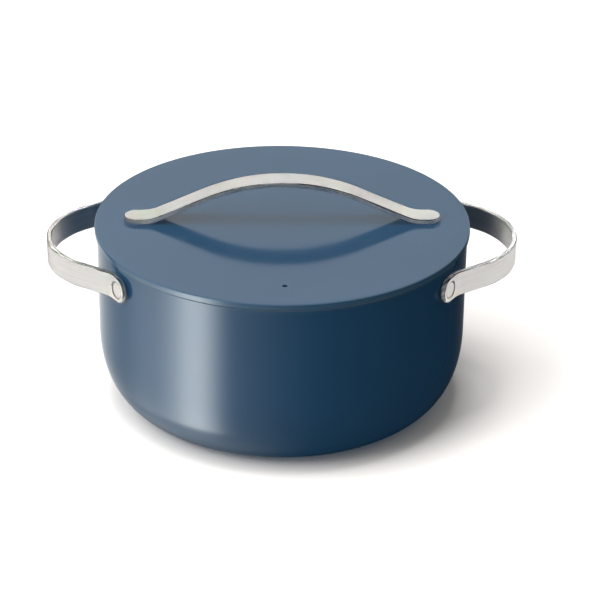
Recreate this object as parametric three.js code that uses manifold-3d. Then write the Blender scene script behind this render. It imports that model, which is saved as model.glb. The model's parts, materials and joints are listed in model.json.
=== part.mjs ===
// A covered casserole: a coated aluminium pot with a bonded steel base plate, two riveted
// strap handles, and a flat lift-off lid with an arched strap handle and a steam vent.
// Millimetres, Z up. The pot stands on Z = 0, and X runs from one side handle to the other.
import * as THREE from "three";
import { mergeVertices } from "three/addons/utils/BufferGeometryUtils.js";
import Module from "manifold-3d";

const wasm = await Module();
wasm.setup();

// ---- Driving dimensions ------------------------------------------------------------------

// Pot: an upright wall over a rounded bottom.
const wallRadius = 132.4;
const wallThickness = 3.5;
const rimHeight = 130;
const baseRadius = 97.2;
const shoulderHeight = 55.5;
const cornerPower = 2.26;
const floorThickness = 4.2;
const innerFloorRadius = 94;
const rimRounding = 1.2;

// Steel plate let into the underside of the pot.
const plateRadius = 88;
const plateThickness = 1.5;
const plateStandsProud = 0.4;
const plateChamfer = 0.4;

// Lid: a flat disc with a skirt that sits on the rim and a ring that drops inside it.
const lidRadius = 134;
const lidTop = 134.8;
const lidThickness = 3.5;
const lidEdgeRounding = 1.5;
const lidRingRadius = 127.9;
const lidRingThickness = 3;
const lidRingDepth = 7;
const lidRingLeadIn = 0.8;
const lidRingInnerChamfer = 0.5;
const lidSkirtChamfer = 0.4;
const ventRadius = 1.9;
const ventFromCentre = 105.7;

// Bent strap that all three handles are made of.
const strapWidth = 18.2;
const strapThickness = 3.5;

// Side handles: outer face of the strap seen in plan, from its tip to its rivet.
const sideHandleHeight = 114.6;
const tipRadius = 60;
const legAngle = THREE.MathUtils.degToRad(56);
const bendRadius = 16;
const footFlat = 7;
const rivetAngle = THREE.MathUtils.degToRad(32.3);

// Lid handle: upper face of the strap seen from the front, from its crown to its foot.
const crownHeight = 167;
const crownRadius = 140;
const slopeAngle = THREE.MathUtils.degToRad(24);
const instepRadius = 28;
const lidHandleHalfLength = 113;
const studFromCentre = 103;

// Rivets: a flush outer head, a shank through strap and wall, and a low inner head.
const rivetHeadRadius = 5.4;
const rivetHeadThickness = 1.5;
const rivetShankRadius = 3;
const rivetInnerHeadRadius = 6.5;
const rivetInnerHeadThickness = 2.2;
const rivetInnerHeadEdge = 0.8;
const rivetHeadChamfer = 0.3;
const rivetGroove = 0.5;

// Lid handle fixings: a welded stud, a washer and a domed nut at each foot.
const studRadius = 2.5;
const studLength = 8.6;
const studChamfer = 0.6;
const washerRadius = 6;
const washerThickness = 1;
const nutAcrossFlats = 9;
const nutHexHeight = 3.4;
const nutDomeHeight = 3.5;
const nutDomeRadius = 4.2;
const nutBlindDepth = 5;

// Clearances between pieces that lie flat on each other, and between curved or turned ones.
const flatGap = 0.1;
const gap = 0.3;

// How far a cutting tool runs past the faces that it cuts, and how much longer a strap is
// bent than its trimmed end needs.
const cutterOverrun = 5;
const trimAllowance = 1;

// Facets: round a full turn, along a quarter round of a profile, and along a strap's bends.
const turnSteps = 72;
const strapEndSteps = 36;
const smallTurnSteps = 24;
const outerCornerSteps = 9;
const innerCornerSteps = 7;
const rimSteps = 2;
const lidEdgeSteps = 3;
const domeSteps = 4;
const arcStep = THREE.MathUtils.degToRad(5.6);

// ---- Materials ---------------------------------------------------------------------------

const coating = new THREE.MeshStandardMaterial({ color: 0x3d5872, roughness: 0.32, metalness: 0.1 });
const brushedSteel = new THREE.MeshStandardMaterial({ color: 0xd6d3ce, roughness: 0.3, metalness: 0.95 });
const turnedSteel = new THREE.MeshStandardMaterial({ color: 0xb9b9b8, roughness: 0.4, metalness: 0.95 });
const fixingSteel = new THREE.MeshStandardMaterial({ color: 0xc4c4c2, roughness: 0.25, metalness: 1 });

// ---- Geometry helpers --------------------------------------------------------------------

// A closed geometry as a solid that can be cut and joined.
function solidOf(geometry) {
  const bare = geometry.clone();
  bare.deleteAttribute("normal");
  bare.deleteAttribute("uv");
  const merged = mergeVertices(bare, 1e-4);
  return new wasm.Manifold(
    new wasm.Mesh({
      numProp: 3,
      vertProperties: new Float32Array(merged.attributes.position.array),
      triVerts: new Uint32Array(merged.index.array),
    }),
  );
}

// A cut or joined solid as a flat-shaded geometry.
function geometryOf(solid) {
  const { vertProperties, triVerts } = solid.getMesh();
  const indexed = new THREE.BufferGeometry();
  indexed.setAttribute("position", new THREE.BufferAttribute(vertProperties, 3));
  indexed.setIndex(new THREE.BufferAttribute(triVerts, 1));
  const geometry = indexed.toNonIndexed();
  geometry.computeVertexNormals();
  return geometry;
}

// A profile of [radius, height] points turned about Z. It runs up the outside.
function turned(profile, steps = turnSteps) {
  const points = profile.map(([radius, height]) => new THREE.Vector2(radius, height));
  return new THREE.LatheGeometry(points, steps).rotateX(Math.PI / 2);
}

// The same profile turned about X, with heights measured along X.
function turnedAboutX(profile, steps = smallTurnSteps) {
  return turned(profile, steps).rotateY(Math.PI / 2);
}

// A plain disc or drill: a cylinder about Z between two heights.
function rod(radius, low, high, steps = smallTurnSteps) {
  return turned([[0, low], [radius, low], [radius, high], [0, high]], steps);
}

// Quarter of a superellipse from the edge of a flat floor up to an upright wall.
function roundedCorner(floorRadius, radius, floorHeight, topHeight, steps) {
  const points = [];
  for (let i = 0; i <= steps; i++) {
    const angle = (i / steps) * (Math.PI / 2);
    const out = Math.sin(angle) ** (2 / cornerPower);
    const up = 1 - Math.max(0, Math.cos(angle)) ** (2 / cornerPower);
    points.push([
      floorRadius + (radius - floorRadius) * out,
      floorHeight + (topHeight - floorHeight) * up,
    ]);
  }
  return points;
}

// Arc of a profile about a centre, from one angle to another in degrees.
function arc(centreRadius, centreHeight, radius, from, to, steps) {
  const points = [];
  for (let i = 0; i <= steps; i++) {
    const angle = THREE.MathUtils.degToRad(from + ((to - from) * i) / steps);
    points.push([
      centreRadius + radius * Math.cos(angle),
      centreHeight + radius * Math.sin(angle),
    ]);
  }
  return points;
}

// Profile of a round-topped cap that hangs below a height, from its lowest point to its edge.
function domeBelow(radius, depth, height, steps) {
  const points = [];
  for (let i = 0; i <= steps; i++) {
    const angle = (i / steps) * (Math.PI / 2);
    points.push([radius * Math.sin(angle), height - depth * Math.cos(angle)]);
  }
  return points;
}

// Follows a strap's face from a start point: each move is a straight length, or an arc with a
// radius and a signed turn. Returns places along it, each with the direction of travel.
function followStrap(x, y, heading, moves) {
  const places = [{ x, y, heading }];
  for (const { length = 0, radius = 0, turn = 0 } of moves) {
    const steps = turn ? Math.ceil(Math.abs(turn) / arcStep) : 1;
    for (let i = 0; i < steps; i++) {
      const last = places[places.length - 1];
      const next = last.heading + turn / steps;
      const chord = turn ? 2 * radius * Math.sin(Math.abs(turn) / steps / 2) : length;
      const along = (last.heading + next) / 2;
      places.push({
        x: last.x + chord * Math.cos(along),
        y: last.y + chord * Math.sin(along),
        heading: next,
      });
    }
  }
  return places;
}

// Cross-section of a strap that is symmetric about one axis of the plane: its known face, and
// the same face moved in by the thickness. Side is +1 where the metal lies to the left.
function strapShape(places, side, mirror) {
  const face = [...places.slice(1).reverse().map(mirror), ...places];
  const facePoints = face.map(({ x, y }) => new THREE.Vector2(x, y));
  const backPoints = face.map(({ x, y, heading }) => {
    const shift = side * strapThickness;
    return new THREE.Vector2(x - shift * Math.sin(heading), y + shift * Math.cos(heading));
  });
  return new THREE.Shape([...facePoints, ...backPoints.reverse()]);
}

// What is cut from a strap's square end to leave it half round. The strap's end lies across
// the plane, the round's axis is local Z, and the strap runs off along local +X.
function endTrim() {
  const depth = strapThickness + cutterOverrun;
  const block = new THREE.BoxGeometry(2 * strapWidth, 2 * strapWidth, 2 * depth);
  block.translate(strapWidth, 0, 0);
  const keep = rod(strapWidth / 2, -depth - cutterOverrun, depth + cutterOverrun, strapEndSteps);
  return solidOf(block).subtract(solidOf(keep));
}

// ---- Pot ---------------------------------------------------------------------------------

const cavityRadius = wallRadius - wallThickness;
const floorHeight = plateStandsProud + floorThickness;
const strapFaceRadius = wallRadius + gap + strapThickness;
const plateTop = plateThickness;
const drill = turnedAboutX([
  [0, cavityRadius - cutterOverrun],
  [rivetShankRadius + gap, cavityRadius - cutterOverrun],
  [rivetShankRadius + gap, strapFaceRadius + cutterOverrun],
  [0, strapFaceRadius + cutterOverrun],
]);
const rivetPlaces = [
  { name: "rivet_right_front", angle: -rivetAngle },
  { name: "rivet_right_rear", angle: rivetAngle },
  { name: "rivet_left_front", angle: Math.PI + rivetAngle },
  { name: "rivet_left_rear", angle: Math.PI - rivetAngle },
];

function potBody() {
  const recessRadius = plateRadius + gap;
  const innerCorner = roundedCorner(
    innerFloorRadius,
    cavityRadius,
    floorHeight,
    shoulderHeight,
    innerCornerSteps,
  );
  const profile = [
    [0, plateTop + flatGap],
    [recessRadius, plateTop + flatGap],
    [recessRadius, plateStandsProud],
    ...roundedCorner(baseRadius, wallRadius, plateStandsProud, shoulderHeight, outerCornerSteps),
    ...arc(wallRadius - rimRounding, rimHeight - rimRounding, rimRounding, 0, 90, rimSteps),
    ...arc(cavityRadius + rimRounding, rimHeight - rimRounding, rimRounding, 90, 180, rimSteps),
    ...innerCorner.reverse(),
    [0, floorHeight],
  ];
  let pot = solidOf(turned(profile));
  for (const { angle } of rivetPlaces) {
    const hole = drill.clone().translate(0, 0, sideHandleHeight).rotateZ(angle);
    pot = pot.subtract(solidOf(hole));
  }
  return geometryOf(pot);
}

function basePlate() {
  return turned([
    [0, 0],
    [plateRadius - plateChamfer, 0],
    [plateRadius, plateChamfer],
    [plateRadius, plateTop],
    [0, plateTop],
  ]);
}

// The strap of the right side handle. The left one is the same piece turned half round.
function sideHandle() {
  const sinLeg = Math.sin(legAngle);
  const cosLeg = Math.cos(legAngle);
  const sinFoot = Math.sin(rivetAngle);
  const cosFoot = Math.cos(rivetAngle);
  // Length of the straight leg and reach of the tip that bring the foot to the rivet.
  const acrossLeg =
    strapFaceRadius * sinFoot -
    tipRadius * sinLeg -
    bendRadius * (sinLeg - sinFoot) -
    footFlat * cosFoot;
  const legLength = acrossLeg / cosLeg;
  const tipReach =
    strapFaceRadius * cosFoot +
    tipRadius * (1 - cosLeg) +
    legLength * sinLeg -
    bendRadius * (cosLeg - cosFoot) +
    footFlat * sinFoot;
  const places = followStrap(tipReach, 0, Math.PI / 2, [
    { radius: tipRadius, turn: legAngle },
    { length: legLength },
    { radius: bendRadius, turn: rivetAngle - legAngle },
    { length: footFlat + strapWidth / 2 + trimAllowance },
  ]);
  const mirror = ({ x, y, heading }) => ({ x, y: -y, heading: Math.PI - heading });
  const shape = strapShape(places, 1, mirror);
  const band = new THREE.ExtrudeGeometry(shape, { depth: strapWidth, bevelEnabled: false });
  let strap = solidOf(band.translate(0, 0, sideHandleHeight - strapWidth / 2));

  const seat = turnedAboutX([
    [0, strapFaceRadius - rivetHeadThickness - gap],
    [rivetHeadRadius + rivetGroove, strapFaceRadius - rivetHeadThickness - gap],
    [rivetHeadRadius + rivetGroove, strapFaceRadius + cutterOverrun],
    [0, strapFaceRadius + cutterOverrun],
  ]);
  for (const end of [-1, 1]) {
    const trim = geometryOf(endTrim()).rotateY(Math.PI / 2).rotateX((end * Math.PI) / 2);
    for (const cutter of [trim.translate(strapFaceRadius, 0, 0), drill, seat]) {
      const placed = cutter.clone().translate(0, 0, sideHandleHeight).rotateZ(end * rivetAngle);
      strap = strap.subtract(solidOf(placed));
    }
  }
  return geometryOf(strap);
}

// A rivet with its axis along X and its outer head flush with the face of the strap.
function rivet() {
  const innerHeadFoot = cavityRadius - gap - flatGap;
  const domeDepth = rivetInnerHeadThickness - rivetInnerHeadEdge;
  return turnedAboutX([
    ...domeBelow(rivetInnerHeadRadius, domeDepth, innerHeadFoot - rivetInnerHeadEdge, domeSteps),
    [rivetInnerHeadRadius, innerHeadFoot],
    [rivetShankRadius, innerHeadFoot],
    [rivetShankRadius, strapFaceRadius - rivetHeadThickness],
    [rivetHeadRadius, strapFaceRadius - rivetHeadThickness],
    [rivetHeadRadius, strapFaceRadius - rivetHeadChamfer],
    [rivetHeadRadius - rivetHeadChamfer, strapFaceRadius],
    [0, strapFaceRadius],
  ]);
}

// ---- Lid ---------------------------------------------------------------------------------

const skirtFoot = rimHeight + flatGap;
const lidUnderside = lidTop - lidThickness;
const washerTop = lidUnderside - flatGap;
const nutTop = washerTop - washerThickness - flatGap;

function lid() {
  const ringInner = lidRingRadius - lidRingThickness;
  const ringFoot = skirtFoot - lidRingDepth;
  const edgeCentre = lidRadius - lidEdgeRounding;
  const profile = [
    [0, lidUnderside],
    [ringInner, lidUnderside],
    [ringInner, ringFoot + lidRingInnerChamfer],
    [ringInner + lidRingInnerChamfer, ringFoot],
    [lidRingRadius - lidRingLeadIn, ringFoot],
    [lidRingRadius, ringFoot + lidRingLeadIn],
    [lidRingRadius, skirtFoot],
    [lidRadius - lidSkirtChamfer, skirtFoot],
    [lidRadius, skirtFoot + lidSkirtChamfer],
    ...arc(edgeCentre, lidTop - lidEdgeRounding, lidEdgeRounding, 0, 90, lidEdgeSteps),
    [0, lidTop],
  ];
  let disc = solidOf(turned(profile));
  const low = lidUnderside - cutterOverrun;
  const high = lidTop + cutterOverrun;
  const studHole = rod(studRadius + gap, low, high);
  const vent = rod(ventRadius, low, high);
  disc = disc
    .subtract(solidOf(studHole.clone().translate(studFromCentre, 0, 0)))
    .subtract(solidOf(studHole.clone().translate(-studFromCentre, 0, 0)))
    .subtract(solidOf(vent.translate(0, -ventFromCentre, 0)));
  return geometryOf(disc);
}

function lidHandle() {
  const footTop = lidTop + flatGap + strapThickness;
  const bendDrop = (crownRadius + instepRadius) * (1 - Math.cos(slopeAngle));
  const slopeLength = (crownHeight - footTop - bendDrop) / Math.sin(slopeAngle);
  const footStart =
    (crownRadius + instepRadius) * Math.sin(slopeAngle) + slopeLength * Math.cos(slopeAngle);
  const places = followStrap(0, crownHeight, 0, [
    { radius: crownRadius, turn: -slopeAngle },
    { length: slopeLength },
    { radius: instepRadius, turn: slopeAngle },
    { length: lidHandleHalfLength - footStart + trimAllowance },
  ]);
  const mirror = ({ x, y, heading }) => ({ x: -x, y, heading: -heading });
  const shape = strapShape(places, -1, mirror);
  const band = new THREE.ExtrudeGeometry(shape, { depth: strapWidth, bevelEnabled: false });
  band.translate(0, 0, -strapWidth / 2).rotateX(Math.PI / 2);
  let strap = solidOf(band);
  const roundCentre = lidHandleHalfLength - strapWidth / 2;
  for (const end of [0, Math.PI]) {
    const trim = geometryOf(endTrim()).translate(roundCentre, 0, footTop).rotateZ(end);
    strap = strap.subtract(solidOf(trim));
  }
  return geometryOf(strap);
}

function lidStud() {
  const foot = lidTop - studLength;
  const profile = [
    [0, foot],
    [studRadius - studChamfer, foot],
    [studRadius, foot + studChamfer],
    [studRadius, lidTop],
    [0, lidTop],
  ];
  return turned(profile, smallTurnSteps);
}

function lidWasher() {
  const bore = studRadius + gap;
  const low = washerTop - washerThickness;
  const profile = [
    [bore, low],
    [washerRadius, low],
    [washerRadius, washerTop],
    [bore, washerTop],
    [bore, low],
  ];
  return turned(profile, smallTurnSteps);
}

function capNut() {
  const hexFoot = nutTop - nutHexHeight;
  const corner = nutAcrossFlats / 2 / Math.cos(Math.PI / 6);
  const hexagon = solidOf(rod(corner, hexFoot, nutTop, 6));
  const domeRoot = hexFoot + nutHexHeight / 2;
  const dome = [
    ...domeBelow(nutDomeRadius, nutDomeHeight, hexFoot, domeSteps),
    [nutDomeRadius, domeRoot],
    [0, domeRoot],
  ];
  const thread = rod(studRadius + gap, nutTop - nutBlindDepth, nutTop + cutterOverrun);
  const nut = hexagon.add(solidOf(turned(dome, smallTurnSteps))).subtract(solidOf(thread));
  return geometryOf(nut);
}

// ---- Assembly ----------------------------------------------------------------------------

function piece(name, geometry, material) {
  const mesh = new THREE.Mesh(geometry, material);
  mesh.name = name;
  return mesh;
}

const pot = new THREE.Group();
pot.add(piece("pot_body", potBody(), coating));
pot.add(piece("base_plate", basePlate(), turnedSteel));

const sideHandleGeometry = sideHandle();
for (const [name, angle] of [["side_handle_right", 0], ["side_handle_left", Math.PI]]) {
  const handle = piece(name, sideHandleGeometry, brushedSteel);
  handle.rotation.z = angle;
  pot.add(handle);
}

const rivetGeometry = rivet();
for (const { name, angle } of rivetPlaces) {
  const fastener = piece(name, rivetGeometry, fixingSteel);
  fastener.position.z = sideHandleHeight;
  fastener.rotation.z = angle;
  pot.add(fastener);
}

const cover = new THREE.Group();
cover.add(piece("lid", lid(), coating));
cover.add(piece("lid_handle", lidHandle(), brushedSteel));

const lidFixings = [
  ["lid_stud", lidStud()],
  ["lid_washer", lidWasher()],
  ["lid_cap_nut", capNut()],
];
for (const [side, x] of [["left", -studFromCentre], ["right", studFromCentre]]) {
  for (const [name, geometry] of lidFixings) {
    const fixing = piece(`${name}_${side}`, geometry, fixingSteel);
    fixing.position.x = x;
    cover.add(fixing);
  }
}

const casserole = new THREE.Group();
casserole.add(pot, cover);

export default casserole;
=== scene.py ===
"""A covered casserole: coated pot and lid, bent steel strap handles, rivets and fixings.

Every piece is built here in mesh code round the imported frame, in metres. The pot stands on
Z = 0, X runs from one side handle to the other, and the steam vent is at the front, on -Y.
"""

import json
import math

import bmesh
import bpy
from mathutils import Matrix, Vector

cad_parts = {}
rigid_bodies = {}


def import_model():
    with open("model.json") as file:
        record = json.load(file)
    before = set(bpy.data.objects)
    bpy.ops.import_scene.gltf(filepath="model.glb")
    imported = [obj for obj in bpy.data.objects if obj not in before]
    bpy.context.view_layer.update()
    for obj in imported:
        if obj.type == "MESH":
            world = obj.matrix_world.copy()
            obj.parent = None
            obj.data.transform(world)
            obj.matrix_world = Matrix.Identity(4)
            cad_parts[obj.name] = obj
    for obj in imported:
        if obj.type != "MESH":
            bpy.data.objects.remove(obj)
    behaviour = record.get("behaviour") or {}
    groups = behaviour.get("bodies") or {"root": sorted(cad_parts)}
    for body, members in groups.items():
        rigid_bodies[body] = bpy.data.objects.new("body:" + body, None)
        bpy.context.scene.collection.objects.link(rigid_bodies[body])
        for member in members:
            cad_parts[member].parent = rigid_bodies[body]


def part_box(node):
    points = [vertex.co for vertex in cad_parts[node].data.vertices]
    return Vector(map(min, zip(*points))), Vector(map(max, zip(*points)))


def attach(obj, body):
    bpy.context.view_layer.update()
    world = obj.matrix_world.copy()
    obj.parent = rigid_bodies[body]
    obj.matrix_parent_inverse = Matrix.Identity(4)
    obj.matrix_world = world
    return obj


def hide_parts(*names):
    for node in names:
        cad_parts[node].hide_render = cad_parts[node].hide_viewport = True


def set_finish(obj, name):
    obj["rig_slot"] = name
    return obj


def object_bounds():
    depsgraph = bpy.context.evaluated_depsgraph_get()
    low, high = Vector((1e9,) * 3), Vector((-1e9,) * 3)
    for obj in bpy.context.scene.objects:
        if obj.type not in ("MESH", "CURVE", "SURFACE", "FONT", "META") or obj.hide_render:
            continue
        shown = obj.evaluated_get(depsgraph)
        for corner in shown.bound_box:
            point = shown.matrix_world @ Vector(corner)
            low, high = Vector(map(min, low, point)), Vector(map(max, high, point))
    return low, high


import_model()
cad_bounds = [list(corner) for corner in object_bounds()]

MM = 0.001
TAU = 2 * math.pi

# ---- Places taken from the frame -----------------------------------------------------------

pot_low, pot_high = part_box("pot_body")
plate_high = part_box("base_plate")[1]
lid_low, lid_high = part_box("lid")
side_low, side_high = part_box("side_handle_right")
handle_low, handle_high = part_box("lid_handle")
stud_low, stud_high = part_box("lid_stud_right")
washer_low, washer_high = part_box("lid_washer_right")
nut_low, nut_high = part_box("lid_cap_nut_right")
rivet_low, rivet_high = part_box("rivet_right_rear")
rivet_middle = (rivet_low + rivet_high) / 2

wall_radius = pot_high.y
rim_height = pot_high.z
pot_foot = pot_low.z
plate_radius = plate_high.y
plate_thickness = plate_high.z
lid_radius = lid_high.y
lid_top = lid_high.z
lid_ring_foot = lid_low.z
strap_width = side_high.z - side_low.z
side_handle_height = (side_high.z + side_low.z) / 2
tip_reach = side_high.x
rivet_angle = math.atan2(rivet_middle.y, rivet_middle.x)
crown_height = handle_high.z
handle_half_length = handle_high.x
stud_from_centre = (stud_low.x + stud_high.x) / 2
stud_radius = stud_high.y

# ---- Driving dimensions that the boxes don't give ------------------------------------------

wall_thickness = 3.5 * MM
base_radius = 97.2 * MM
shoulder_height = 55.5 * MM
corner_power = 2.26
floor_thickness = 4.2 * MM
inner_floor_radius = 94 * MM
rim_rounding = 1.7 * MM

lid_thickness = 3.5 * MM
lid_edge_rounding = 1.1 * MM
lid_ring_radius = 127.9 * MM
lid_ring_thickness = 3 * MM
vent_radius = 1.9 * MM
vent_from_centre = 105.7 * MM

strap_thickness = 3.5 * MM
strap_edge_rounding = 0.65 * MM
tip_radius = 60 * MM
leg_angle = math.radians(56)
bend_radius = 16 * MM
foot_flat = 7 * MM
crown_radius = 140 * MM
slope_angle = math.radians(24)
instep_radius = 28 * MM

rivet_head_radius = 5.4 * MM
rivet_head_thickness = 1.5 * MM
rivet_shank_radius = 3 * MM
rivet_inner_head_radius = 6.5 * MM
rivet_inner_head_thickness = 2.2 * MM
rivet_groove = 0.5 * MM

stud_pitch = 0.8 * MM
nut_across_flats = 9 * MM
nut_hex_height = 3.4 * MM
nut_dome_radius = 4.2 * MM

flat_gap = 0.1 * MM
gap = 0.3 * MM

cavity_radius = wall_radius - wall_thickness
floor_height = pot_foot + floor_thickness
strap_face_radius = wall_radius + gap + strap_thickness
skirt_foot = rim_height + flat_gap
lid_underside = lid_top - lid_thickness

turn_steps = 256
small_turn_steps = 64
tiny = 1e-9


# ---- Node helpers --------------------------------------------------------------------------

class Nodes:
    """The node tree of a material or world, with short calls to add and link nodes."""

    def __init__(self, owner):
        owner.use_nodes = True
        self.owner = owner
        self.tree = owner.node_tree

    def add(self, kind, inputs=None, **settings):
        node = self.tree.nodes.new("ShaderNode" + kind)
        for key, value in settings.items():
            setattr(node, key, value)
        for key, value in (inputs or {}).items():
            self.put(value, node.inputs[key])
        return node

    def put(self, value, socket):
        if isinstance(value, bpy.types.NodeSocket):
            self.tree.links.new(value, socket)
        else:
            socket.default_value = value

    def shade(self, **inputs):
        """Sets or links inputs of a material's own shader."""
        shader = self.tree.nodes["Principled BSDF"]
        for key, value in inputs.items():
            self.put(value, shader.inputs[key.replace("_", " ")])

    def glow(self, tint, strength):
        """Makes a material give off light in place of its own shader."""
        self.tree.nodes.remove(self.tree.nodes["Principled BSDF"])
        emission = self.add("Emission", {"Color": tint, "Strength": strength})
        self.put(emission.outputs[0], self.tree.nodes["Material Output"].inputs["Surface"])
        self.owner.cycles.emission_sampling = "NONE"

    def noise(self, vector, scale, detail=3.0, roughness=0.5):
        """Smooth noise with a number of features to the metre, or to the unit of the vector."""
        inputs = {"Vector": vector, "Scale": scale, "Detail": detail, "Roughness": roughness}
        return self.add("TexNoise", inputs).outputs["Fac"]

    def spread(self, value, low, high, to_low, to_high):
        """A value mapped smoothly from one range to another, and held at the ends."""
        inputs = {
            "Value": value, "From Min": low, "From Max": high, "To Min": to_low, "To Max": to_high,
        }
        return self.add("MapRange", inputs, interpolation_type="SMOOTHSTEP").outputs["Result"]

    def blend(self, factor, first, second):
        """A colour between two colours."""
        node = self.add("Mix", data_type="RGBA")
        sockets = (node.inputs[0], node.inputs[6], node.inputs[7])
        for value, socket in zip((factor, first, second), sockets):
            self.put(value, socket)
        return node.outputs[2]

    def between(self, factor, first, second):
        """A value between two values."""
        node = self.add("Mix", data_type="FLOAT")
        sockets = (node.inputs[0], node.inputs[2], node.inputs[3])
        for value, socket in zip((factor, first, second), sockets):
            self.put(value, socket)
        return node.outputs[0]

    def math(self, operation, first, second=0.0):
        node = self.add("Math", operation=operation)
        self.put(first, node.inputs[0])
        self.put(second, node.inputs[1])
        return node.outputs[0]

    def vector(self, operation, first, second=(0.0, 0.0, 0.0)):
        node = self.add("VectorMath", {0: first, 1: second}, operation=operation)
        return node.outputs["Value" if operation == "LENGTH" else "Vector"]

    def part(self, vector, axis):
        return self.add("SeparateXYZ", {0: vector}).outputs[axis]

    def bump(self, height, distance, strength=1.0, normal=None):
        inputs = {"Height": height, "Distance": distance, "Strength": strength}
        node = self.add("Bump", inputs)
        if normal is not None:
            self.put(normal, node.inputs["Normal"])
        return node.outputs["Normal"]


def new_material(name):
    return Nodes(bpy.data.materials.new(name))


def colour(red, green, blue):
    return (red, green, blue, 1.0)


# ---- Materials -----------------------------------------------------------------------------

def highlight_and_polish_edges(n, flat_pointiness, most):
    """How far a point lies on a rounded edge, from 0 on flats to the most on edges. The coating uses
    it for a painted highlight; the strap steel uses it to be smoother there.
    """
    edge_pointiness = 0.520
    pointiness = n.add("NewGeometry").outputs["Pointiness"]
    return n.spread(pointiness, flat_pointiness, edge_pointiness, 0.0, most)


def make_coating():
    """Semi-gloss ceramic enamel: orange peel, fine pigment speckle, and paler blue on the rounded
    edges as a painted highlight.
    """
    deep_blue = colour(0.0125, 0.0585, 0.1270)
    mid_blue = colour(0.0145, 0.0635, 0.1370)
    speckle_blue = colour(0.040, 0.115, 0.190)
    highlight_edge_blue = colour(0.075, 0.150, 0.215)
    peel_depth = 0.012 * MM
    grain_depth = 0.0012 * MM
    flat_pointiness = 0.507
    n = new_material("blue_ceramic_coating")
    place = n.add("TexCoord").outputs["Object"]
    clouds = n.spread(n.noise(place, 9.0, 3.0, 0.5), 0.35, 0.65, 0.0, 1.0)
    speckle = n.spread(n.noise(place, 2600.0, 2.0, 0.6), 0.60, 0.74, 0.0, 0.30)
    base = n.blend(clouds, deep_blue, mid_blue)
    speckled = n.blend(speckle, base, speckle_blue)
    # Painted highlight: the rounded edges are mixed towards a paler blue.
    edge_highlight = n.blend(highlight_and_polish_edges(n, flat_pointiness, 0.40), speckled, highlight_edge_blue)
    normal = n.bump(n.noise(place, 620.0, 2.0, 0.45), peel_depth)
    normal = n.bump(n.noise(place, 3400.0, 2.0, 0.5), grain_depth, normal=normal)
    rough = n.spread(n.noise(place, 38.0, 4.0, 0.6), 0.3, 0.7, 0.105, 0.140)
    n.shade(Base_Color=edge_highlight, Roughness=rough, Normal=normal, IOR=1.5)
    return n.owner


def make_strap_steel():
    """Satin stainless strap, brushed along its length and shinier on its edges."""
    dark_steel = colour(0.585, 0.568, 0.548)
    bright_steel = colour(0.655, 0.638, 0.615)
    scratch_steel = colour(0.42, 0.41, 0.40)
    scratch_depth = 0.006 * MM
    flat_pointiness = 0.506
    n = new_material("brushed_strap_steel")
    across_along = n.add("UVMap", uv_map="strap").outputs["UV"]
    hair = n.add("Mapping", {"Vector": across_along, "Scale": (5200.0, 34.0, 1.0)}).outputs[0]
    streak = n.add("Mapping", {"Vector": across_along, "Scale": (900.0, 14.0, 1.0)}).outputs[0]
    hairs = n.noise(hair, 1.0, 3.0, 0.6)
    streaks = n.noise(streak, 1.0, 2.0, 0.5)
    clouds = n.noise(n.add("TexCoord").outputs["Object"], 22.0, 3.0, 0.5)
    tone = n.blend(n.spread(streaks, 0.3, 0.7, 0.0, 1.0), dark_steel, bright_steel)
    tone = n.blend(n.spread(hairs, 0.56, 0.75, 0.0, 0.25), tone, scratch_steel)
    rough = n.spread(hairs, 0.25, 0.75, 0.31, 0.41)
    rough = n.math("ADD", rough, n.spread(clouds, 0.3, 0.7, -0.02, 0.03))
    polish = n.math("MULTIPLY", highlight_and_polish_edges(n, flat_pointiness, 1.0), 0.12)
    rough = n.math("SUBTRACT", rough, polish)
    tangent = n.add("Tangent", direction_type="UV_MAP", uv_map="strap").outputs["Tangent"]
    n.shade(Base_Color=tone, Roughness=rough, Normal=n.bump(hairs, scratch_depth, 0.6),
            Tangent=tangent, Metallic=1.0, Anisotropic=0.7)
    return n.owner


def make_turned_steel(name, rings_to_metre, bright, dark, smoothest, roughest):
    """Steel with fine concentric tool marks round the piece's own axis."""
    ring_drift = 0.4 * MM
    ring_depth = 0.008 * MM
    n = new_material(name)
    place = n.add("TexCoord").outputs["Object"]
    radius = n.vector("LENGTH", n.vector("MULTIPLY", place, (1.0, 1.0, 0.0)))
    drift = n.math("MULTIPLY", n.noise(place, 60.0, 2.0), ring_drift)
    across = n.add("CombineXYZ", {"X": n.math("ADD", radius, drift)}).outputs[0]
    rings = n.noise(across, rings_to_metre, 4.0, 0.65)
    clouds = n.noise(place, 30.0, 3.0)
    tone = n.blend(n.spread(rings, 0.35, 0.65, 0.0, 1.0), bright, dark)
    tone = n.blend(n.spread(clouds, 0.45, 0.7, 0.0, 0.25), tone, dark)
    rough = n.spread(rings, 0.3, 0.7, smoothest, roughest)
    n.shade(Base_Color=tone, Roughness=rough, Normal=n.bump(rings, ring_depth, 0.7), Metallic=1.0)
    return n.owner


coating = make_coating()
strap_steel = make_strap_steel()
plate_steel = make_turned_steel(
    "spun_base_steel", 1500.0, colour(0.50, 0.49, 0.48), colour(0.38, 0.375, 0.37), 0.26, 0.42,
)
fixing_steel = make_turned_steel(
    "turned_fixing_steel", 4200.0, colour(0.655, 0.64, 0.62), colour(0.585, 0.572, 0.555), 0.26, 0.36,
)


# ---- Mesh helpers --------------------------------------------------------------------------

def arc(centre_r, centre_z, radius, start, end, steps):
    """Profile points along an arc, with angles in degrees."""
    angles = [math.radians(start + (end - start) * i / steps) for i in range(steps + 1)]
    return [(centre_r + radius * math.cos(a), centre_z + radius * math.sin(a)) for a in angles]


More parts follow.
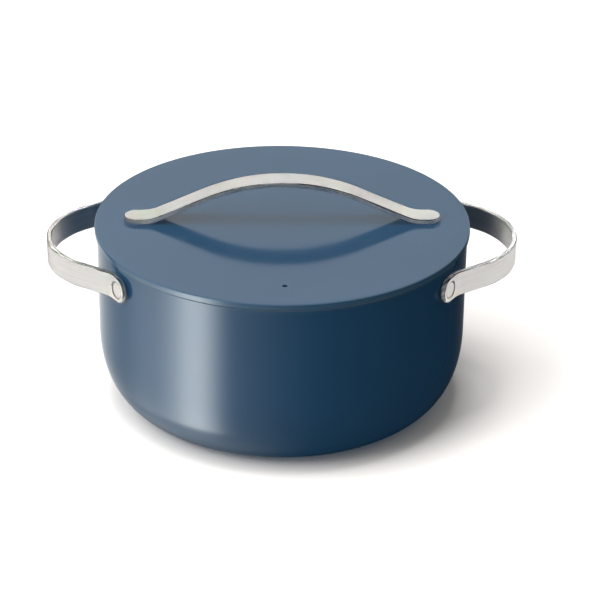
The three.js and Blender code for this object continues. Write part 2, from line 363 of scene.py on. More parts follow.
def flat_rings(height, from_radius, to_radius, holes):
    """Profile points strictly between two radii, with a ring close by each side of every hole.

    Each hole is (distance from the axis, radius).
    """
    spacing = 9 * MM
    margin = 0.7 * MM
    close_by = [place + side * (radius + margin) for place, radius in holes for side in (-1, 1)]
    low, high = min(from_radius, to_radius), max(from_radius, to_radius)
    count = math.ceil((high - low) / spacing)
    even = [low + (high - low) * i / count for i in range(1, count)]
    even = [r for r in even if all(abs(r - near) > margin for near in close_by)]
    radii = sorted(even + close_by, reverse=to_radius < from_radius)
    return [(r, height) for r in radii]


def line(start, end, steps):
    """Profile points strictly between two points."""
    (r0, z0), (r1, z1) = start, end
    shares = [i / steps for i in range(1, steps)]
    return [(r0 + (r1 - r0) * share, z0 + (z1 - z0) * share) for share in shares]


def rounded_corner(floor_r, wall_r, floor_z, wall_z, steps):
    """Quarter of a superellipse from the edge of a flat floor up to an upright wall."""
    points = []
    for i in range(steps + 1):
        angle = i / steps * math.pi / 2
        out = math.sin(angle) ** (2 / corner_power)
        up = 1 - max(0.0, math.cos(angle)) ** (2 / corner_power)
        points.append((floor_r + (wall_r - floor_r) * out, floor_z + (wall_z - floor_z) * up))
    return points


def lathe(profile, steps=turn_steps, closed=False):
    """Turns (radius, height) points about Z. A point on the axis becomes one vertex."""
    bm = bmesh.new()
    rows = []
    for r, z in profile:
        if r < tiny:
            rows.append([bm.verts.new((0, 0, z))] * steps)
        else:
            turns = [TAU * i / steps for i in range(steps)]
            rows.append([bm.verts.new((r * math.cos(a), r * math.sin(a), z)) for a in turns])
    pairs = list(zip(rows, rows[1:]))
    if closed:
        pairs.append((rows[-1], rows[0]))
    for lower, upper in pairs:
        bridge(bm, lower, upper)
    return bm


def bridge(bm, first, second):
    """Joins two rings of vertices with quads, or with triangles where one is a single vertex."""
    count = len(first)
    for i in range(count):
        j = (i + 1) % count
        corners = []
        for vert in (first[i], first[j], second[j], second[i]):
            if vert not in corners:
                corners.append(vert)
        if len(corners) > 2:
            bm.faces.new(corners)


def crease(bm):
    """Marks the edges where two faces meet sharply, and smooths the rest."""
    sharp_angle = math.radians(32)
    bmesh.ops.recalc_face_normals(bm, faces=bm.faces)
    for face in bm.faces:
        face.smooth = True
    for edge in bm.edges:
        edge.smooth = edge.calc_face_angle(0.0) < sharp_angle


def make_object(name, bm, material):
    """Turns a bmesh into an object in the scene."""
    mesh = bpy.data.meshes.new(name)
    bm.to_mesh(mesh)
    bm.free()
    mesh.materials.append(material)
    thing = bpy.data.objects.new(name, mesh)
    bpy.context.scene.collection.objects.link(thing)
    return thing


def make_piece(name, bm, material, body, slot, *nodes):
    """Turns a bmesh into a piece that rides on a body and stands for CAD nodes."""
    crease(bm)
    piece = make_object(name, bm, material)
    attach(piece, body)
    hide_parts(*nodes)
    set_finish(piece, slot)
    return piece


def cut(bm, cutters):
    """Subtracts closed meshes from a closed mesh, and merges the slivers that this leaves."""
    sliver = 0.002 * MM
    objects = []
    for source in (bm, *cutters):
        bmesh.ops.recalc_face_normals(source, faces=source.faces)
        mesh = bpy.data.meshes.new("cutting")
        source.to_mesh(mesh)
        source.free()
        objects.append(bpy.data.objects.new("cutting", mesh))
        bpy.context.scene.collection.objects.link(objects[-1])
    for cutter in objects[1:]:
        modifier = objects[0].modifiers.new("cut", "BOOLEAN")
        modifier.operation = "DIFFERENCE"
        modifier.solver = "EXACT"
        modifier.object = cutter
    evaluated = objects[0].evaluated_get(bpy.context.evaluated_depsgraph_get())
    result = bmesh.new()
    result.from_mesh(evaluated.to_mesh())
    evaluated.to_mesh_clear()
    bmesh.ops.remove_doubles(result, verts=result.verts, dist=sliver)
    bmesh.ops.dissolve_degenerate(result, edges=result.edges, dist=sliver)
    for used in objects:
        mesh = used.data
        bpy.data.objects.remove(used)
        bpy.data.meshes.remove(mesh)
    return result


def moved(bm, *matrices):
    """The same mesh after each matrix in turn."""
    for matrix in matrices:
        bmesh.ops.transform(bm, matrix=matrix, verts=bm.verts)
    return bm


def towards(angle, height):
    """Matrices that lay a piece's Z axis out along a direction in plan, at a height."""
    return (
        Matrix.Rotation(math.pi / 2, 4, "Y"),
        Matrix.Rotation(angle, 4, "Z"),
        Matrix.Translation((0, 0, height)),
    )


# ---- Pot -----------------------------------------------------------------------------------

rivet_angles = {
    "rivet_right_front": -rivet_angle,
    "rivet_right_rear": rivet_angle,
    "rivet_left_front": math.pi + rivet_angle,
    "rivet_left_rear": math.pi - rivet_angle,
}


def drill(radius, low, high):
    """A cylinder to cut a hole with."""
    return lathe([(0, low), (radius, low), (radius, high), (0, high)], small_turn_steps)


def drill_rivet_holes(bm):
    beyond = 10 * MM
    radius = rivet_shank_radius + gap / 2
    drills = []
    for angle in rivet_angles.values():
        bit = drill(radius, cavity_radius - beyond, wall_radius + beyond)
        drills.append(moved(bit, *towards(angle, side_handle_height)))
    return cut(bm, drills)


def make_pot():
    """The shell: recess for the base disc, rounded corner, wall, rim and hollow."""
    recess_radius = plate_radius + gap
    recess_top = plate_thickness + flat_gap
    lip = 0.4 * MM
    outer = rounded_corner(base_radius, wall_radius, pot_foot, shoulder_height, 44)
    inner = rounded_corner(inner_floor_radius, cavity_radius, floor_height, shoulder_height, 36)
    rim_low = rim_height - rim_rounding
    profile = [
        (0, recess_top),
        (recess_radius, recess_top),
        *arc(recess_radius + lip, pot_foot + lip, lip, 180, 270, 4),
        *line((recess_radius + lip, pot_foot), outer[0], 3),
        *outer,
        *line(outer[-1], (wall_radius, rim_low), 14),
        *arc(wall_radius - rim_rounding, rim_low, rim_rounding, 0, 90, 6),
        *arc(cavity_radius + rim_rounding, rim_low, rim_rounding, 90, 180, 6),
        *line((cavity_radius, rim_low), inner[-1], 14),
        *reversed(inner),
        *line(inner[0], (0, floor_height), 12),
        (0, floor_height),
    ]
    shell = drill_rivet_holes(lathe(profile))
    make_piece("pot_shell", shell, coating, "pot", "coating", "pot_body")


def make_base_plate():
    """Steel disc with a chamfered edge and shallow turned rings on its underside."""
    ring_count = 14
    ring_start = 14 * MM
    ring_end = plate_radius - 8 * MM
    ring_depth = 0.12 * MM
    ring_half_width = 0.9 * MM
    ring_steps = 6
    chamfer = 0.4 * MM
    profile = [(0, 0.0)]
    for i in range(ring_count):
        middle = ring_start + (ring_end - ring_start) * i / (ring_count - 1)
        for j in range(ring_steps + 1):
            phase = j / ring_steps
            depth = ring_depth * (1 - math.cos(TAU * phase)) / 2
            profile.append((middle + ring_half_width * (2 * phase - 1), depth))
    profile += [
        *arc(plate_radius - chamfer, chamfer, chamfer, -90, 0, 4),
        *arc(plate_radius - chamfer / 2, plate_thickness - chamfer / 2, chamfer / 2, 0, 90, 3),
        (0, plate_thickness),
    ]
    make_piece("base_disc", lathe(profile), plate_steel, "pot", "base_steel", "base_plate")


# ---- Straps --------------------------------------------------------------------------------

def travel(x, y, heading, moves, distance):
    """Place and heading at a distance along a path of straights and arcs.

    Each move is (length, radius, turn): a straight has no turn, and an arc has no length.
    """
    for length, radius, turn in moves:
        span = radius * abs(turn) if turn else length
        step = min(distance, span)
        if turn:
            side = math.copysign(1, turn)
            centre_x = x - side * radius * math.sin(heading)
            centre_y = y + side * radius * math.cos(heading)
            heading += side * step / radius
            x = centre_x + side * radius * math.sin(heading)
            y = centre_y - side * radius * math.cos(heading)
        else:
            x += step * math.cos(heading)
            y += step * math.sin(heading)
        distance -= step
        if distance <= 0:
            return x, y, heading
    return x + distance * math.cos(heading), y + distance * math.sin(heading), heading


def neighbours(items):
    """Each item of a closed loop with the next one."""
    return zip(items, items[1:] + items[:1])


class StrapBlank:
    """A flat strap with half-round ends and rounded edges, at (along, across, depth).

    half_length runs from the strap's middle to the centre of a half-round end. hole is a list
    of (radius, depth) points down a turned hole in each end, or None where it is solid.
    """

    end_steps = 64
    end_rings = 5
    edge_steps = 5

    def __init__(self, half_length, column_step, hole=None):
        self.bm = bmesh.new()
        self.verts = {}
        self.half_width = strap_width / 2
        self.end_centre = half_length
        self.angles = [TAU * i / self.end_steps for i in range(self.end_steps)]
        straight = half_length - self.half_width
        count = math.ceil(2 * straight / column_step)
        self.columns = [-straight + 2 * straight * i / count for i in range(count + 1)]
        # The rows meet the rays of the ends, an eighth of a turn to each side.
        eighth = self.end_steps // 8
        self.rows = [math.tan(math.pi / 4 * i / eighth) for i in range(-eighth, eighth + 1)]
        self.add_face(0.0, hole[0][0] if hole else 0.0)
        self.add_face(strap_thickness, hole[-1][0] if hole else 0.0)
        self.add_edge()
        if hole:
            self.add_holes(hole)

    def vert(self, place):
        """The one vertex at a place."""
        key = tuple(round(value, 8) for value in place)
        if key not in self.verts:
            self.verts[key] = self.bm.verts.new(place)
        return self.verts[key]

    def quad(self, *corners):
        """A face on four corners, or on three where two of them coincide."""
        unique = list(dict.fromkeys(self.vert(corner) for corner in corners))
        if len(unique) > 2:
            self.bm.faces.new(unique)

    def end_place(self, end, angle, hole_radius, width, share):
        """A place round an end's centre, from its hole at share 0 to its border at share 1.

        The border is the half circle outwards and, inwards, three straight sides: two along
        the strap's edges, and one across it where the middle's grid begins.
        """
        along, across = math.cos(angle), math.sin(angle)
        if along > -tiny:
            border_along, border_across = width * along, width * across
        elif abs(across) >= -along - tiny:
            border_along = -self.half_width * abs(along / across)
            border_across = math.copysign(width, across)
        else:
            border_along, border_across = -self.half_width, width * across / -along
        s = hole_radius * along * (1 - share) + border_along * share
        w = hole_radius * across * (1 - share) + border_across * share
        return end * (self.end_centre + s), end * w

    def add_face(self, depth, hole_radius):
        """One flat side: a grid along the middle, and rings of faces round each end."""
        width = self.half_width - strap_edge_rounding
        for s0, s1 in zip(self.columns, self.columns[1:]):
            for r0, r1 in zip(self.rows, self.rows[1:]):
                corners = ((s0, r0), (s1, r0), (s1, r1), (s0, r1))
                self.quad(*((s, row * width, depth) for s, row in corners))
        for end in (-1, 1):
            for a, b in neighbours(self.angles):
                for ring in range(self.end_rings):
                    near, far = ring / self.end_rings, (ring + 1) / self.end_rings
                    corners = ((a, near), (b, near), (b, far), (a, far))
                    self.quad(*(
                        (*self.end_place(end, angle, hole_radius, width, share), depth)
                        for angle, share in corners
                    ))

    def outline(self, inset, depth):
        """The strap's whole outline at one depth, as a closed loop of places."""
        width = self.half_width - inset
        reach = 3 * self.end_steps // 8
        places = []
        for end, columns in ((1, self.columns), (-1, self.columns[::-1])):
            places += [(s, -end * width, depth) for s in columns[:-1]]
            for i in range(-reach, reach):
                angle = TAU * i / self.end_steps
                places.append((*self.end_place(end, angle, 0, width, 1), depth))
        return places

    def add_edge(self):
        """The rounded edge all the way round, from one flat side to the other."""
        radius = strap_edge_rounding
        angles = [math.pi / 2 * i / self.edge_steps for i in range(self.edge_steps + 1)]
        outer = [(radius * (1 - math.sin(a)), radius * (1 - math.cos(a))) for a in angles]
        inner = [(inset, strap_thickness - depth) for inset, depth in reversed(outer)]
        loops = [self.outline(inset, depth) for inset, depth in outer + inner]
        for first, second in zip(loops, loops[1:]):
            for (a, b), (c, d) in zip(neighbours(first), neighbours(second)):
                self.quad(a, b, d, c)

    def hole_place(self, end, angle, radius, depth):
        along = self.end_centre + radius * math.cos(angle)
        return end * along, end * radius * math.sin(angle), depth

    def add_holes(self, hole):
        """The turned wall of the hole in each end."""
        for end in (-1, 1):
            for first, second in zip(hole, hole[1:]):
                for a, b in neighbours(self.angles):
                    corners = ((a, first), (b, first), (b, second), (a, second))
                    self.quad(*(self.hole_place(end, angle, *level) for angle, level in corners))


def bend_strap(bm, place):
    """Bends a flat blank: place gives (x, y, heading) on the strap's face for a distance.

    The metal lies to the left of the path. Returns the mesh in the path's plane, with the
    strap's width along Z, and keeps (across, along) as the strap's UV map.
    """
    uv = bm.loops.layers.uv.new("strap")
    for face in bm.faces:
        for loop in face.loops:
            s, w, d = loop.vert.co
            loop[uv].uv = (w + d, s)
    for v in bm.verts:
        s, w, d = v.co
        x, y, heading = place(abs(s))
        x -= d * math.sin(heading)
        y += d * math.cos(heading)
        v.co = (x, y if s >= 0 else -y, w)
    return bm


def side_handle_path():
    """The moves from a side handle's middle to its end, and the distance to its rivet."""
    sin_leg, cos_leg = math.sin(leg_angle), math.cos(leg_angle)
    sin_foot, cos_foot = math.sin(rivet_angle), math.cos(rivet_angle)
    across_leg = (
        strap_face_radius * sin_foot - tip_radius * sin_leg
        - bend_radius * (sin_leg - sin_foot) - foot_flat * cos_foot
    )
    leg_length = across_leg / cos_leg
    moves = [
        (0, tip_radius, leg_angle),
        (leg_length, 0, 0),
        (0, bend_radius, rivet_angle - leg_angle),
        (foot_flat + strap_width, 0, 0),
    ]
    bend_length = bend_radius * (leg_angle - rivet_angle)
    return moves, tip_radius * leg_angle + leg_length + bend_length + foot_flat


def rivet_seat():
    """(radius, depth) points down the stepped hole that takes a flush rivet."""
    seat = rivet_head_radius + rivet_groove
    seat_depth = rivet_head_thickness + gap
    through = rivet_shank_radius + gap / 2
    corner = 0.18 * MM
    return [
        (seat + corner, 0.0), (seat + 0.3 * corner, 0.3 * corner), (seat, corner),
        (seat, seat_depth), (through, seat_depth), (through, strap_thickness),
    ]


def make_side_handles():
    moves, to_rivet = side_handle_path()
    column_step = 1.6 * MM

    def place(distance):
        return travel(tip_reach, 0.0, math.pi / 2, moves, distance)

    for name, turn in (("right", 0.0), ("left", math.pi)):
        band = bend_strap(StrapBlank(to_rivet, column_step, rivet_seat()).bm, place)
        moved(band, Matrix.Translation((0, 0, side_handle_height)), Matrix.Rotation(turn, 4, "Z"))
        make_piece("side_strap_" + name, band, strap_steel, "pot", "handle_steel",
                   "side_handle_" + name)


def make_lid_handle():
    """The arched strap: a crown, two slopes and two flat feet."""
    column_step = 2 * MM
    foot_top = handle_low.z + strap_thickness
    both = crown_radius + instep_radius
    drop = crown_height - foot_top - both * (1 - math.cos(slope_angle))
    slope_length = drop / math.sin(slope_angle)
    foot_start = both * math.sin(slope_angle) + slope_length * math.cos(slope_angle)
    round_centre = handle_half_length - strap_width / 2
    to_foot = both * slope_angle + slope_length
    moves = [
        (0, crown_radius, slope_angle),
        (slope_length, 0, 0),
        (0, instep_radius, -slope_angle),
        (strap_width, 0, 0),
    ]
    half_length = to_foot + round_centre - foot_start

    def place(distance):
        """The path starts at the crown and heads along +Y of its plane, curving left."""
        return travel(crown_height, 0.0, math.pi / 2, moves, distance)

    band = bend_strap(StrapBlank(half_length, column_step).bm, place)
    to_upright = Matrix(((0, 1, 0, 0), (0, 0, 1, 0), (1, 0, 0, 0), (0, 0, 0, 1)))
    moved(band, to_upright)
    make_piece("lid_strap", band, strap_steel, "lid", "handle_steel", "lid_handle")


# ---- Rivets --------------------------------------------------------------------------------

def rivet_profile():
    """(radius, distance from the pot's axis) points, from the inner head out to the flush one."""
    face = strap_face_radius
    head_foot = face - rivet_head_thickness
    inner_foot = cavity_radius - gap - flat_gap
    edge = 0.25 * MM
    inner_edge = 0.8 * MM
    crown = 0.05 * MM
    dome_steps = 12
    dome_depth = rivet_inner_head_thickness - inner_edge
    dome = []
    for i in range(dome_steps + 1):
        a = math.pi / 2 * i / dome_steps
        depth = inner_edge + dome_depth * math.cos(a)
        dome.append((rivet_inner_head_radius * math.sin(a), inner_foot - depth))
    return [
        *dome,
        (rivet_inner_head_radius, inner_foot),
        (rivet_shank_radius, inner_foot),
        (rivet_shank_radius, head_foot),
        (rivet_head_radius, head_foot),
        *arc(rivet_head_radius - edge, face - crown - edge, edge, 0, 80, 5),
        (rivet_head_radius * 0.7, face - crown * 0.45),
        (rivet_head_radius * 0.35, face - crown * 0.1),
        (0, face),
    ]


def make_rivets():
    for name, angle in rivet_angles.items():
        pin = lathe(rivet_profile(), small_turn_steps)
        piece = make_piece(name.replace("rivet", "flush_rivet"), pin, fixing_steel, "pot",
                           "fixing_steel", name)
        lie_down, turn, lift = towards(angle, side_handle_height)
        piece.matrix_world = lift @ turn @ lie_down


# ---- Lid -----------------------------------------------------------------------------------

def make_lid():
    """The disc: locating ring below, rounded edge, steam vent and holes for the studs."""
    ring_inner = lid_ring_radius - lid_ring_thickness
    soft = 0.5 * MM
    lead_in = 0.8 * MM
    fillet = 1.2 * MM
    skirt_edge = 0.45 * MM
    flare = 0.35 * MM
    edge = lid_edge_rounding
    holes = [(vent_from_centre, vent_radius + flare), (stud_from_centre, stud_radius + gap)]
    profile = [
        (0, lid_underside),
        *flat_rings(lid_underside, 0, ring_inner - fillet, holes),
        *arc(ring_inner - fillet, lid_underside - fillet, fillet, 90, 0, 5),
        *arc(ring_inner + soft, lid_ring_foot + soft, soft, 180, 270, 4),
        *arc(lid_ring_radius - lead_in, lid_ring_foot + lead_in, lead_in, -90, 0, 4),
        (lid_ring_radius, skirt_foot),
        *arc(lid_radius - skirt_edge, skirt_foot + skirt_edge, skirt_edge, -90, 0, 3),
        *arc(lid_radius - edge, lid_top - edge, edge, 0, 90, 8),
        *flat_rings(lid_top, lid_radius - edge, 0, holes),
        (0, lid_top),
    ]
    disc = cut(lathe(profile), lid_cutters(flare))
    make_piece("lid_disc", disc, coating, "lid", "coating", "lid")


def lid_cutters(flare):
    """The shapes of the vent, which flares at the top, and of the two stud holes."""
    beyond = 5 * MM
    low = lid_underside - beyond
    high = lid_top + beyond
    vent = lathe([
        (0, low), (vent_radius, low), (vent_radius, lid_top - flare),
        (vent_radius + flare + beyond, high), (0, high),
    ], small_turn_steps)
    # Half a step round, so that no corner of a hole falls on an edge of the disc.
    half_step = Matrix.Rotation(TAU / small_turn_steps / 2, 4, "Z")
    cutters = [moved(vent, half_step, Matrix.Translation((0, -vent_from_centre, 0)))]
    for x in (-stud_from_centre, stud_from_centre):
        hole = drill(stud_radius + gap, low, high)
        cutters.append(moved(hole, half_step, Matrix.Translation((x, 0, 0))))
    return cutters


def make_stud():
    """A threaded stud: its radius follows a screw thread round and up."""
    low, high = stud_low.z, stud_high.z
    steps = 24
    rows_to_pitch = 8
    rows = math.ceil((high - low) / (stud_pitch / rows_to_pitch))
    depth = 0.45 * MM
    chamfer_height = 0.6 * MM
    chamfer_depth = 0.36 * MM
    bm = bmesh.new()
    rings = []
    for i in range(rows + 1):
        z = low + (high - low) * i / rows
        chamfer = (1 - min(1.0, (z - low) / chamfer_height)) * chamfer_depth
        ring = []
        for j in range(steps):
            a = TAU * j / steps
            phase = (z / stud_pitch - j / steps) % 1.0
            r = stud_radius - depth * abs(2 * phase - 1) - chamfer
            ring.append(bm.verts.new((r * math.cos(a), r * math.sin(a), z)))
        rings.append(ring)
    for first, second in zip(rings, rings[1:]):
        bridge(bm, first, second)
    bm.faces.new(rings[0])
    bm.faces.new(rings[-1])
    return bm


def make_washer():
    inner, outer = stud_radius + gap, washer_high.y
    low, high = washer_low.z, washer_high.z
    soft = 0.2 * MM
    profile = [
        *arc(inner + soft, low + soft, soft, 180, 270, 3),
        *arc(outer - soft, low + soft, soft, -90, 0, 3),
        *arc(outer - soft, high - soft, soft, 0, 90, 3),
        *arc(inner + soft, high - soft, soft, 90, 180, 3),
    ]
    return lathe(profile, small_turn_steps, closed=True)


def cap_nut_levels():
    """(height, round radius) of each ring outside a cap nut, from its dome to its flat face.

    The six flats lie within the round radius: where it is smaller, it cuts their corners.
    """
    top = nut_high.z
    hex_foot = top - nut_hex_height
    neck = 0.25 * MM
    dome_height = hex_foot - nut_low.z - neck
    dome_steps = 10
    dome = []
    for i in range(1, dome_steps + 1):
        a = math.pi / 2 * i / dome_steps
        dome.append((hex_foot - neck - dome_height * math.cos(a), nut_dome_radius * math.sin(a)))
    dome.append((hex_foot, nut_dome_radius))
    slope = math.tan(math.radians(30))
    inset = 0.1 * MM
    flat = nut_across_flats / 2
    cone_steps = 6
    cone = []
    for i in range(cone_steps + 1):
        widening = (flat / math.cos(math.pi / 6) - flat + inset) * i / cone_steps
        cone.append((widening * slope, flat - inset + widening))
    lower = [(hex_foot + rise, radius) for rise, radius in cone]
    upper = [(top - rise, radius) for rise, radius in reversed(cone)]
    return dome + lower + upper


def make_cap_nut():
    """A domed nut: six flats cut by chamfer cones, a round dome below and a blind hole."""
    steps = 96
    flat = nut_across_flats / 2
    bore = stud_radius + gap
    lead_in = 0.25 * MM
    bore_depth = 5 * MM
    blind = nut_high.z - bore_depth
    drill_tip = 1 * MM
    angles = [TAU * j / steps for j in range(steps)]
    bm = bmesh.new()

    def hexagon(angle):
        from_flat = (angle + math.pi / 6) % (math.pi / 3) - math.pi / 6
        return flat / math.cos(from_flat)

    def ring(z, limit):
        """A ring of vertices: a circle, or a hexagon where that is smaller."""
        radii = [min(limit, hexagon(a)) for a in angles]
        return [bm.verts.new((r * math.cos(a), r * math.sin(a), z)) for r, a in zip(radii, angles)]

    rows = [[bm.verts.new((0, 0, nut_low.z))] * steps]
    rows += [ring(z, radius) for z, radius in cap_nut_levels()]
    rows += [ring(nut_high.z, bore + lead_in), ring(nut_high.z - lead_in, bore), ring(blind, bore)]
    rows.append([bm.verts.new((0, 0, blind - drill_tip))] * steps)
    for first, second in zip(rows, rows[1:]):
        bridge(bm, first, second)
    return bm


def make_lid_fixings():
    builders = {"stud": make_stud, "washer": make_washer, "cap_nut": make_cap_nut}
    for side, x in (("left", -stud_from_centre), ("right", stud_from_centre)):
        for kind, build in builders.items():
            name = f"{kind}_{side}"
            piece = make_piece(name, build(), fixing_steel, "lid", "fixing_steel", "lid_" + name)
            piece.matrix_world = Matrix.Translation((x, 0, 0))


make_pot()
make_base_plate()
make_side_handles()
make_rivets()
make_lid()
make_lid_handle()
make_lid_fixings()


# ---- Camera --------------------------------------------------------------------------------

camera_distance = 1.6544
camera_yaw = 0.029
camera_pitch = 0.4719
camera_roll = 0.0121
camera_lens = 136.94
camera_sensor = 36
aim_from_centre = Vector((0.0131, -0.0058, -0.0106))


def make_camera():
    low, high = (Vector(corner) for corner in cad_bounds)
    ahead = Vector((math.sin(camera_yaw), math.cos(camera_yaw), 0))
    right = Vector((math.cos(camera_yaw), -math.sin(camera_yaw), 0))
    up = ahead * math.sin(camera_pitch) + Vector((0, 0, math.cos(camera_pitch)))
    forward = ahead * math.cos(camera_pitch) - Vector((0, 0, math.sin(camera_pitch)))
    rolled_right = right * math.cos(camera_roll) + up * math.sin(camera_roll)
    rolled_up = up * math.cos(camera_roll) - right * math.sin(camera_roll)
    data = bpy.data.cameras.new("camera")
    data.lens = camera_lens
    data.sensor_width = camera_sensor
    camera = bpy.data.objects.new("camera", data)
    bpy.context.scene.collection.objects.link(camera)
    place = (low + high) / 2 + aim_from_centre - forward * camera_distance
    turn = Matrix((rolled_right, rolled_up, -forward)).transposed().to_4x4()
    camera.matrix_world = Matrix.Translation(place) @ turn
    bpy.context.scene.camera = camera


# ---- Studio --------------------------------------------------------------------------------

floor_half_size = 6.0
backdrop_radius = 8.0
reflector_radius = 9.0


def show_only_to(thing, *rays):
    """Hides a stage object from every kind of ray but those named."""
    for kind in ("camera", "diffuse", "glossy", "shadow", "transmission"):
        setattr(thing, "visible_" + kind, kind in rays)


def make_floor():
    """The floor, in a collection of its own for light linking."""
    bm = bmesh.new()
    bmesh.ops.create_grid(bm, x_segments=2, y_segments=2, size=floor_half_size)
    n = new_material("white_sweep")
    n.shade(Base_Color=colour(0.50, 0.488, 0.475), Roughness=0.9)
    floor = make_object("studio_floor", bm, n.owner)
    show_only_to(floor, "camera", "transmission")
    group = bpy.data.collections.new("floor_only")
    group.objects.link(floor)
    return group


def make_dome(name, radius, n):
    """A sphere round the whole scene."""
    bm = bmesh.new()
    bmesh.ops.create_uvsphere(bm, u_segments=48, v_segments=24, radius=radius)
    return make_object(name, bm, n.owner)


def make_backdrop():
    """White behind the floor, for the camera only, so that low views have no dark horizon."""
    n = new_material("white_backdrop")
    n.glow(colour(1.0, 1.0, 1.0), 1.0)
    show_only_to(make_dome("studio_backdrop", backdrop_radius, n), "camera")


def make_world():
    """Soft light from above and from straight below, for matt surfaces only."""
    world = bpy.data.worlds.new("studio")
    n = Nodes(world)
    height = n.part(n.add("TexCoord").outputs["Generated"], "Z")
    sky = n.spread(height, -0.20, 0.6, 0.03, 0.66)
    bounce = n.spread(height, -0.9, -0.2, 0.75, 0.0)
    background = n.tree.nodes["Background"]
    n.put(colour(1.0, 0.975, 0.95), background.inputs["Color"])
    n.put(n.math("ADD", sky, bounce), background.inputs["Strength"])
    world.cycles_visibility.glossy = False
    bpy.context.scene.world = world


def ramp(n, value, stops):
    """A value through a smooth ramp of (position, level) stops."""
    node = n.add("ValToRGB", {"Fac": value})
    node.color_ramp.interpolation = "B_SPLINE"
    elements = node.color_ramp.elements
    while len(elements) < len(stops):
        elements.new(0.5)
    for element, (position, level) in zip(elements, stops):
        element.position = position
        element.color = (level, level, level, 1.0)
    return node.outputs["Color"]


def gather(name, wanted):
    """A collection of the pieces whose material slot is wanted, for light linking."""
    group = bpy.data.collections.new(name)
    for piece in bpy.data.objects:
        if "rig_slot" in piece and wanted(piece["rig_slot"]):
            group.objects.link(piece)
    return group


def make_reflector(receivers):
    """A dome of light that shows only in the gloss of the receivers."""
    n = new_material("coating_reflector")
    direction = n.vector("NORMALIZE", n.add("TexCoord").outputs["Object"])
    n.glow(colour(0.96, 1.0, 0.99), coating_light(n, direction))
    dome = make_dome("coating_reflector", reflector_radius, n)
    show_only_to(dome, "glossy")
    dome.light_linking.receiver_collection = receivers


def coating_light(n, direction):
    """White above the horizon, and below it a tall soft box on the left with a wide glow.

    The light below is laid out by the surface that mirrors each direction to the front of the
    dish: how far round the pot it faces, and how far down it tilts. Where that surface faces
    the rear, the light is even.
    """
    to_front = (-0.026, -0.890, 0.455)
    half_way = n.vector("ADD", direction, to_front)
    sideways = n.part(half_way, "X")
    backward = n.part(half_way, "Y")
    facing = n.math("ARCTAN2", sideways, n.math("MULTIPLY", backward, -1.0))
    round_share = n.math("ADD", n.math("DIVIDE", facing, math.pi), 0.5)
    outward = n.vector("LENGTH", n.vector("MULTIPLY", half_way, (1.0, 1.0, 0.0)))
    tilt = n.math("ARCTAN2", n.math("MULTIPLY", n.part(half_way, "Z"), -1.0), outward)
    down_share = n.math("DIVIDE", tilt, math.pi / 2)
    lower = n.math("ADD", soft_box(n, round_share, down_share), side_glow(n, round_share, down_share))
    behind = n.spread(backward, -0.01, 0.07, 0.0, 1.0)
    lower = n.between(behind, lower, rear_level)
    height = n.part(direction, "Z")
    upper = n.spread(height, 0.34, 0.56, 0.86, 1.30)
    across_back = n.spread(n.part(direction, "X"), -0.12, 0.18, 1.03, 0.90)
    above = n.spread(height, -0.04, 0.16, 0.0, 1.0)
    return n.between(above, lower, n.math("MULTIPLY", upper, across_back))


soft_box_level = 8.6
side_glow_level = 1.4
rear_level = 0.35


def soft_box(n, round_share, down_share):
    """The bright, narrow part of the light, which ends sharply at its foot."""
    across = ramp(n, round_share, [
        (0.0, 0.06), (0.12, 0.02), (0.167, 0.02), (0.20, 0.06), (0.233, 0.13), (0.267, 0.16),
        (0.30, 0.43), (0.325, 0.88), (0.35, 1.0), (0.372, 0.58), (0.396, 0.04), (0.43, 0.0),
        (1.0, 0.0),
    ])
    down = ramp(n, down_share, [
        (0.0, 1.0), (0.06, 0.95), (0.12, 0.86), (0.17, 0.74), (0.19, 0.62), (0.205, 0.20),
        (0.24, 0.07), (0.30, 0.02), (0.36, 0.0), (1.0, 0.0),
    ])
    return n.math("MULTIPLY", n.math("MULTIPLY", across, down), soft_box_level)


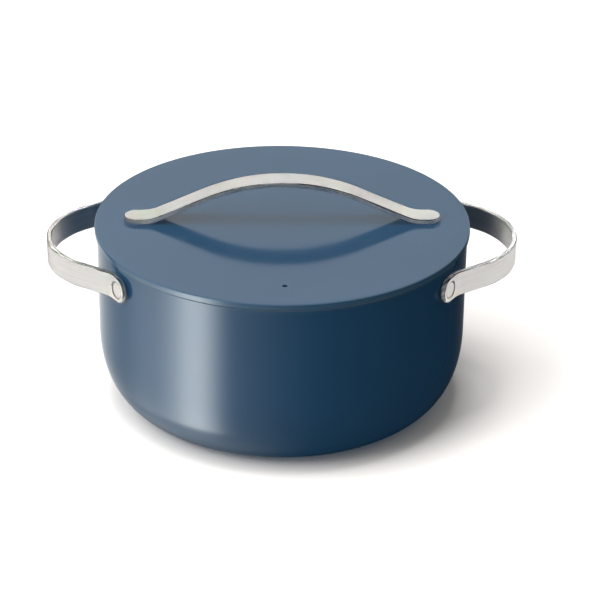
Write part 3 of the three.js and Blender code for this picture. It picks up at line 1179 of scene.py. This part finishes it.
def side_glow(n, round_share, down_share):
    """The faint, wide part of the light, which fades out past the front to the right."""
    across = ramp(n, round_share, [
        (0.0, 0.48), (0.08, 0.44), (0.16, 0.36), (0.20, 0.46), (0.25, 0.70), (0.30, 0.84),
        (0.35, 0.80), (0.39, 0.72), (0.43, 0.52), (0.47, 0.30), (0.50, 0.16), (0.54, 0.04),
        (0.58, 0.01), (0.86, 0.0), (0.94, 0.04), (1.0, 0.25),
    ])
    down = ramp(n, down_share, [
        (0.0, 1.0), (0.20, 1.0), (0.28, 0.96), (0.34, 0.74), (0.40, 0.44), (0.46, 0.22),
        (0.56, 0.10), (1.0, 0.08),
    ])
    return n.math("MULTIPLY", n.math("MULTIPLY", across, down), side_glow_level)


def make_sun(name, direction, spread_degrees, energy, receivers=None, blockers=None):
    """A wide soft light from a direction.

    Without receivers it lights everything, and doesn't show in gloss. With them it lights only
    those, gloss and all. With blockers, nothing but those casts a shadow in it.
    """
    data = bpy.data.lights.new(name, "SUN")
    data.energy = energy
    data.angle = math.radians(spread_degrees)
    light = bpy.data.objects.new(name, data)
    bpy.context.scene.collection.objects.link(light)
    light.rotation_euler = Vector(direction).to_track_quat("Z", "Y").to_euler()
    if receivers is None:
        light.visible_glossy = False
        return
    data.cycles.use_multiple_importance_sampling = False
    light.light_linking.receiver_collection = receivers
    if blockers is not None:
        light.light_linking.blocker_collection = blockers


def make_lights(floor_only):
    make_sun("key_above", (-0.06, 0.04, 1.0), 22, 1.0)
    make_sun("key_left", (-0.85, -0.42, 0.34), 60, 2.4)
    make_sun("floor_above", (-0.12, 0.02, 0.99), 28, 2.6, floor_only)
    make_sun("floor_left", (-0.61, -0.18, 0.76), 52, 4.2, floor_only)
    make_reflector(gather("coated_pieces", lambda slot: slot == "coating"))
    bare = gather("bare_steel_pieces", lambda slot: slot != "coating")
    make_sun("steel_behind", (-0.16, 0.80, 0.66), 84, 1.35, bare)
    make_sun("steel_around", (0, 0, 1), 175, 1.0, bare)
    make_sun("steel_left", (-0.84, 0.14, -0.50), 96, 2.1, bare)
    make_sun("steel_right", (0.85, 0.12, -0.50), 104, 1.9, bare)
    make_sun("steel_below", (0, 0.1, -1), 110, 0.9, bare, bare)


make_camera()
floor_only = make_floor()
make_backdrop()
make_world()
make_lights(floor_only)
bpy.context.scene.view_settings.view_transform = "Standard"
